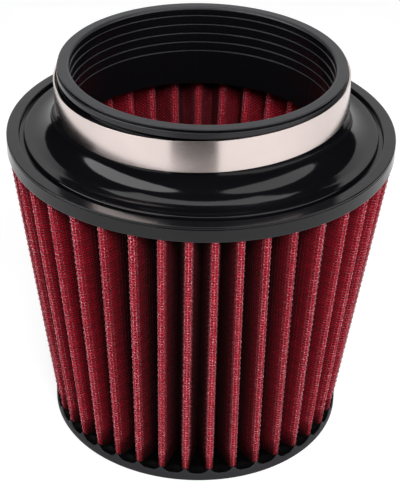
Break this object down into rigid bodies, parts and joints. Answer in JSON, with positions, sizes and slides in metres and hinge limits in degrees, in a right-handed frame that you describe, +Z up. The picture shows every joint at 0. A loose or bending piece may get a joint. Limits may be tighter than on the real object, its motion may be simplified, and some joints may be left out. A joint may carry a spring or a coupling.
{
  "type": "cone air filter",
  "caption": "Clamp-on cone air filter: moulded neck with flange, pleated gauze cone between wire screens, closed base cap and a worm-drive clamp.",
  "frame": {"origin": "centre of the base cap's underside", "axes": "+Z up the neck's axis, -Y towards the side that the picture shows, +X to its right"},
  "size_m": [0.152, 0.152, 0.158],
  "materials": {
    "neck_rubber": "glossy moulded polyurethane",
    "cap_rubber": "satin moulded polyurethane",
    "red_gauze": "dyed cotton gauze",
    "red_wire": "red coated woven wire",
    "band_steel": "bright rolled stainless strip",
    "screw_steel": "pressed and turned stainless"
  },
  "bodies": {
    "filter": {"flange_cap": "neck_rubber", "base_cap": "cap_rubber", "filter_media": "red_gauze", "outer_screen": "red_wire", "inner_screen": "red_wire", "clamp_band": "band_steel", "clamp_housing": "screw_steel"},
    "screw": {"clamp_screw": "screw_steel"}
  },
  "joints": [
    {"name": "clamp_screw_turn", "type": "hinge", "parent": "filter", "child": "screw", "pos_m": [-0.0001, 0.06195, 0.14755], "axis": [0.9994, 0, 0.0349], "continuous": true}
  ]
}
